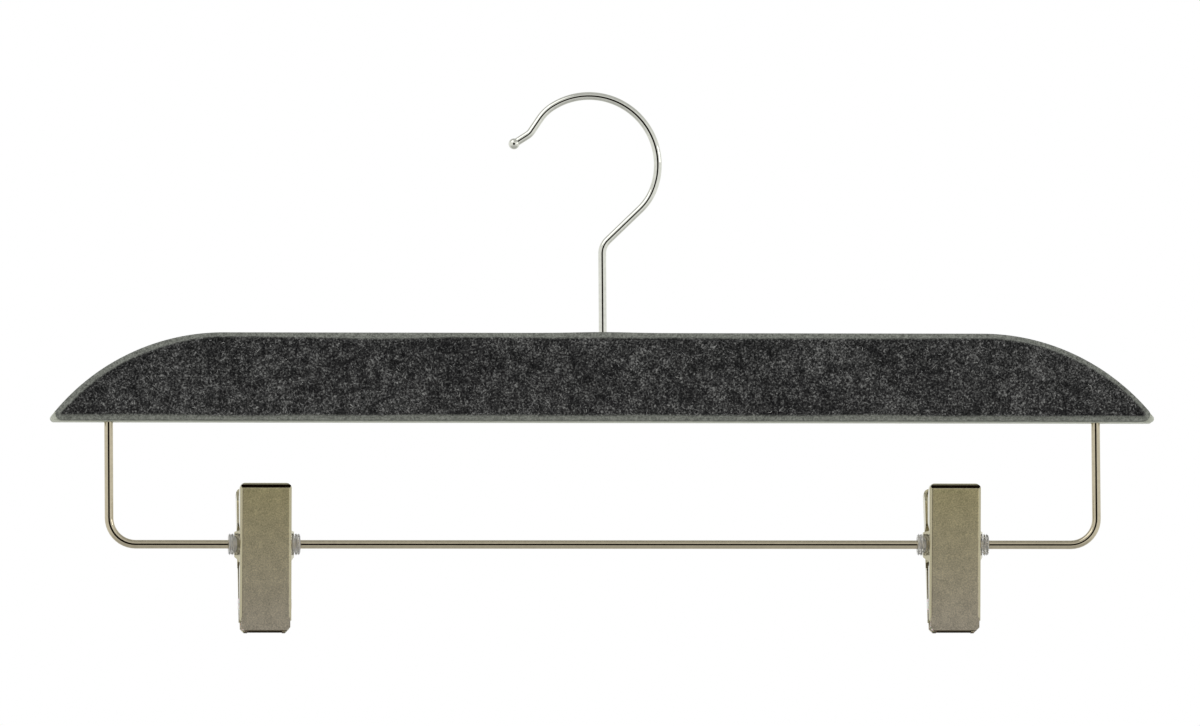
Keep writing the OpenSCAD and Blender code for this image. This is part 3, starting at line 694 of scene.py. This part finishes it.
def feltMesh(node):
    plan = feltPlan(node)
    xs, shares = gridSteps(plan)
    points, rimLights, edgeShadows = [], [], []
    for x in xs:
        low, high = plan["low"], topEdge(plan, x)
        side, r = plan["right"] - abs(x), felt["cornerRadius"]
        if side < r:
            low += r - math.sqrt(max(r * r - (r - side) ** 2, 0.0))
        for share in shares:
            z = low + (high - low) * share
            distance = edgeDistance(plan, x, z)
            y = feltHeight(plan, x, z, distance)
            rise = felt["stemRise"] * math.exp(-(x / felt["stemReach"]) ** 2)
            rise *= smooth(z, plan["high"] - felt["stemDepth"], plan["high"])
            points.append((x * mm, (plan["back"] + plan["out"] * y) * mm, (z + rise) * mm))
            rim = rimWidth(plan, x, z)
            rimLights.append(1 - smooth(distance, rim, rim + felt["rimLightFade"]))
            edgeShadows.append(felt["edgeShadowStrength"] * (1 - smooth(distance, *felt["edgeShadowFade"])))
    rows, columns = len(shares), len(xs)
    faces = []
    for i in range(columns - 1):
        for j in range(rows - 1):
            a, b = i * rows + j, (i + 1) * rows + j
            faces.append((a, b, b + 1, a + 1))

    # The outline goes straight back to the core, and a flat back closes the cover
    loop = [i * rows for i in range(columns)]
    loop += [(columns - 1) * rows + j for j in range(1, rows)]
    loop += [i * rows + rows - 1 for i in range(columns - 2, -1, -1)]
    loop += [j for j in range(rows - 2, 0, -1)]
    start, count = len(points), len(loop)
    points += [(points[k][0], plan["back"] * mm, points[k][2]) for k in loop]
    # The cut side takes the rim's painted light too
    rimLights += [1.0] * count
    # The cut side gets most of the painted shadow
    edgeShadows += [felt["sideShadowStrength"]] * count
    for k in range(count):
        after = (k + 1) % count
        faces.append((loop[after], loop[k], start + k, start + after))
    faces.append(tuple(reversed(range(start, start + count))))
    if plan["out"] > 0:
        faces = [tuple(reversed(f)) for f in faces]
    return newMesh(node + "Cover", points, faces, shares={"rimLightShare": rimLights, "edgeShadowShare": edgeShadows}), plan


fibre = {
    "count": 1500,                   # on each cover
    "radius": 0.06,                  # mm, coarser than wool so that it shows
    "length": (0.7, 2.2),
    "bend": 1.4,                     # radians over its length, at most
    "steps": 5,
    "sides": 3,
    "keepOff": 0.8,                  # mm from the cover's outline
    "lift": 0.02,                    # mm above the felt
    "darkness": 1.3,                 # above 1, more of them are dark
}


def tubeAlong(points, radius, sides):  # the points of a thin tube's rings
    rings = []
    for i, p in enumerate(points):
        ahead = points[min(i + 1, len(points) - 1)] - points[max(i - 1, 0)]
        axis = ahead.normalized()
        across = axis.orthogonal().normalized()
        other = axis.cross(across)
        turns = [2 * math.pi * k / sides for k in range(sides)]
        rings += [p + radius * (math.cos(a) * across + math.sin(a) * other) for a in turns]
    return rings


def fibreMesh(node, plan, seed):     # short loose fibres lying on the cover's field
    draw = random.Random(seed)
    points, faces, tones = [], [], []
    steps, sides, off = fibre["steps"], fibre["sides"], fibre["keepOff"]
    while len(tones) < fibre["count"]:
        x = draw.uniform(plan["left"], plan["right"])
        z = draw.uniform(plan["low"], plan["high"])
        heading = draw.uniform(0, 2 * math.pi)
        bend = draw.uniform(-fibre["bend"], fibre["bend"])
        length = draw.uniform(*fibre["length"])
        tone = draw.random() ** fibre["darkness"]
        route = []
        for i in range(steps):
            route.append((x, z))
            x += math.cos(heading) * length / steps
            z += math.sin(heading) * length / steps
            heading += bend / steps
        inside = [edgeDistance(plan, px, pz) >= off and pz <= topEdge(plan, px) - off for px, pz in route]
        if not all(inside):
            continue
        placed = []
        for px, pz in route:
            y = feltHeight(plan, px, pz, edgeDistance(plan, px, pz)) + fibre["lift"]
            placed.append(Vector((px, plan["back"] + plan["out"] * y, pz)) * mm)
        faces += tubeFaces(len(points), steps, sides)
        points += tubeAlong(placed, fibre["radius"] * mm, sides)
        tones.append(tone)
    each = [tone for tone in tones for k in range(steps * sides)]
    return newMesh(node + "Fibres", points, faces, rounded=False, shares={"tone": each})


feltMaterial = needledFelt("needled felt, hot pressed", feltLook)
fibreMaterial = looseFibre("loose wool fibre", fibreLook)
for seed, node in enumerate(("front_felt", "rear_felt"), 7):
    mesh, plan = feltMesh(node)
    cover = addPiece(node + "_cover", mesh, feltMaterial, "board")
    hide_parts(node)
    addPiece(node + "_fibres", fibreMesh(node, plan, seed), fibreMaterial, "board")
print("felt covers made")


# Springs, in mm
spring = {
    "wire": 1.2,
    "coilRadius": 4.15,              # to the middle of the wire
    "pitch": 1.7,
    "turns": 6,
    "leg": 15.0,
    "legSteps": 6,
    "legEnd": 6.9,                   # from the bar's middle to the leg's end, square to the shell
    "cutEnd": 0.82,                  # share of the wire's size at its cut ends
    "ringsPerTurn": 28,
    "sides": 14,
}


def springMesh(side):
    s, centre = spring, clipCentre(side)
    lean = math.degrees(math.asin(s["legEnd"] / math.hypot(s["coilRadius"], s["leg"])))
    lean -= math.degrees(math.atan(s["coilRadius"] / s["leg"]))
    start = math.radians(180 + clip["frontLean"] + lean)
    end = math.radians(360 * s["turns"] - rearLean - lean)
    length = s["pitch"] * (end - start) / (2 * math.pi)

    def coil(t):                     # the wire's middle at that share of the coil, and its angle
        a = start + (end - start) * t
        return Vector((length * (t - 0.5), s["coilRadius"] * math.cos(a), s["coilRadius"] * math.sin(a))), a

    def leg(t, tilt):                # from the leg's end to the coil
        point, a = coil(t)
        along = Vector((0, math.sin(tilt), math.cos(tilt)))
        steps = range(s["legSteps"], 0, -1)
        return [(point + along * s["leg"] * k / s["legSteps"], a) for k in steps]

    count = int(s["ringsPerTurn"] * (end - start) / (2 * math.pi))
    rings = leg(0, -math.radians(clip["frontLean"] + lean))
    rings += [coil(i / count) for i in range(count + 1)]
    rings += reversed(leg(1, math.radians(rearLean + lean)))
    points, across = [], Vector((1, 0, 0))
    for i, (p, a) in enumerate(rings):
        out = Vector((0, math.cos(a), math.sin(a)))
        size = s["wire"] / 2 * (s["cutEnd"] if i in (0, len(rings) - 1) else 1.0)
        for k in range(s["sides"]):
            b = 2 * math.pi * k / s["sides"]
            points.append((p + size * (math.cos(b) * out - math.sin(b) * across)) * mm + centre)
    ends = [centre + Vector((x * length * mm, 0, 0)) for x in (-0.5, 0.5)]
    return newMesh(side + "SpringWire", points, tubeFaces(0, len(rings), s["sides"])), ends


springSteel = plainMetal("drawn spring steel", metalLooks["spring"])
for side in ("left", "right"):
    mesh, ends = springMesh(side)
    piece = addPiece(side + "_spring_wire", mesh, springSteel)
    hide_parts(side + "_spring")
    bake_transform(piece)
print("springs wound")


# Jaw pads, in mm
pad = {
    "width": 16.5,
    "height": 11.3,
    "seat": 0.15,                    # above the lower lip
    "behind": 0.02,                  # clear of the shell
    "gap": 0.15,                     # to the plane where the jaws meet
    "ribPitch": 2.0,
    "ribStart": 0.5,                 # from the pad's foot to its first groove
    "ribDepth": 0.5,
    "ribRound": 0.6,                 # under 1, the ribs' crests are broader
    "footRound": 0.5,
    "headRound": 0.7,
    "endFall": 0.25,                 # how much the face falls at foot and head
    "round": 0.35,                   # at the two sides
    "sideFace": 0.95,                # share of the half width where that starts
    "sharp": 40.0,                   # degrees, what bends more is drawn as an edge
    "lugHeight": 3.9,
    "lugDrop": 0.1,                  # below the pad's head
    "lugRoot": 1.0,                  # how far a lug reaches into the pad
    "lugOut": 0.3,                   # past the shell's side
    "lugDepth": 3.2,                 # from the outer face to the lug's back
    "lugRound": [(0.25, 0.0), (0.08, 0.1), (0.0, 0.3)],  # from its outer end, and drawn in by
    "steps": 72,
}


def meetDepth(u):
    return clip["faceOff"] + u * math.tan(math.radians(meetLean))


def padProfile(low, high):           # the ribbed face from foot to head, as depth and height
    profile = []
    for i in range(pad["steps"] + 1):
        u = low + pad["height"] * i / pad["steps"]
        wave = 0.5 - 0.5 * math.cos(2 * math.pi * (u - low - pad["ribStart"]) / pad["ribPitch"])
        ends = smooth(u, low, low + pad["footRound"]) * smooth(-u, -high, -high + pad["headRound"])
        groove = pad["ribDepth"] * (1 - wave ** pad["ribRound"] * ends)
        profile.append((meetDepth(u) - pad["gap"] - groove - pad["endFall"] * (1 - ends), u))
    return profile


def addLug(points, faces, sign, high):  # at one side, rounded at its outer end
    first = len(points)
    reach = clip["halfWidth"] + pad["lugOut"]
    top = high - pad["lugDrop"]
    bottom = top - pad["lugHeight"]
    cuts = [(pad["width"] / 2 - pad["lugRoot"], 0.0)]
    cuts += [(reach - fromEnd, draw) for fromEnd, draw in pad["lugRound"]]
    for x, draw in cuts:
        fronts = [meetDepth(u) - pad["gap"] - pad["ribDepth"] - draw for u in (bottom, top)]
        back = pad["lugDepth"] + draw
        corners = [
            (back, bottom + draw), (fronts[0], bottom + draw), (fronts[1], top - draw), (back, top - draw)]
        points += [Vector((sign * x, v, u)) for v, u in corners]
    for i in range(len(cuts) - 1):
        for k in range(4):
            p, q = first + 4 * i + k, first + 4 * i + (k + 1) % 4
            faces.append((p, q, q + 4, p + 4) if sign > 0 else (q, p, p + 4, q + 4))
    last = first + 4 * (len(cuts) - 1)
    forward, backward = (0, 1, 2, 3), (3, 2, 1, 0)
    faces.append(tuple(first + k for k in (backward if sign > 0 else forward)))
    faces.append(tuple(last + k for k in (forward if sign > 0 else backward)))


def padMesh(side, jaw):
    low = -clip["down"] + clip["sheet"] + pad["seat"]
    high = low + pad["height"]
    back = clip["sheet"] + pad["behind"]
    profile, start = padProfile(low, high), pad["sideFace"]
    edge = [start - 0.1, start, 0.985, 1]  # shares of the half width, closer at the rounded sides
    acrossSteps = [-a for a in reversed(edge)] + [-0.7 + 0.1 * i for i in range(15)] + edge
    points, faces = [], []
    for a in acrossSteps:
        x = a * pad["width"] / 2
        inset = pad["round"] * (1 - math.sqrt(max(1 - (max(abs(a) - start, 0) / (1 - start)) ** 2, 0)))
        points += [Vector((x, v - inset, u)) for v, u in profile]
        points += [Vector((x, back, high)), Vector((x, back, low))]
    ring = len(profile) + 2
    faces += tubeFaces(0, len(acrossSteps), ring)
    for sign in (-1, 1):
        addLug(points, faces, sign, high)
    if jaw == "rear":
        faces = [tuple(reversed(f)) for f in faces]
    place = shellFrame(side, jaw)
    mesh = newMesh(side + jaw + "PadBody", [place @ (v * mm) for v in points], faces)
    mesh.set_sharp_from_angle(angle=math.radians(pad["sharp"]))
    return mesh


vinyl = softVinyl("soft vinyl, moulded", padLook)
for side in ("left", "right"):
    for jaw in ("front", "rear"):
        name = side + "_" + jaw + "_pad"
        piece = addPiece(name + "_body", padMesh(side, jaw), vinyl, side + "_" + jaw + "_jaw")
        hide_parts(name)
print("pads made")


print("finished")
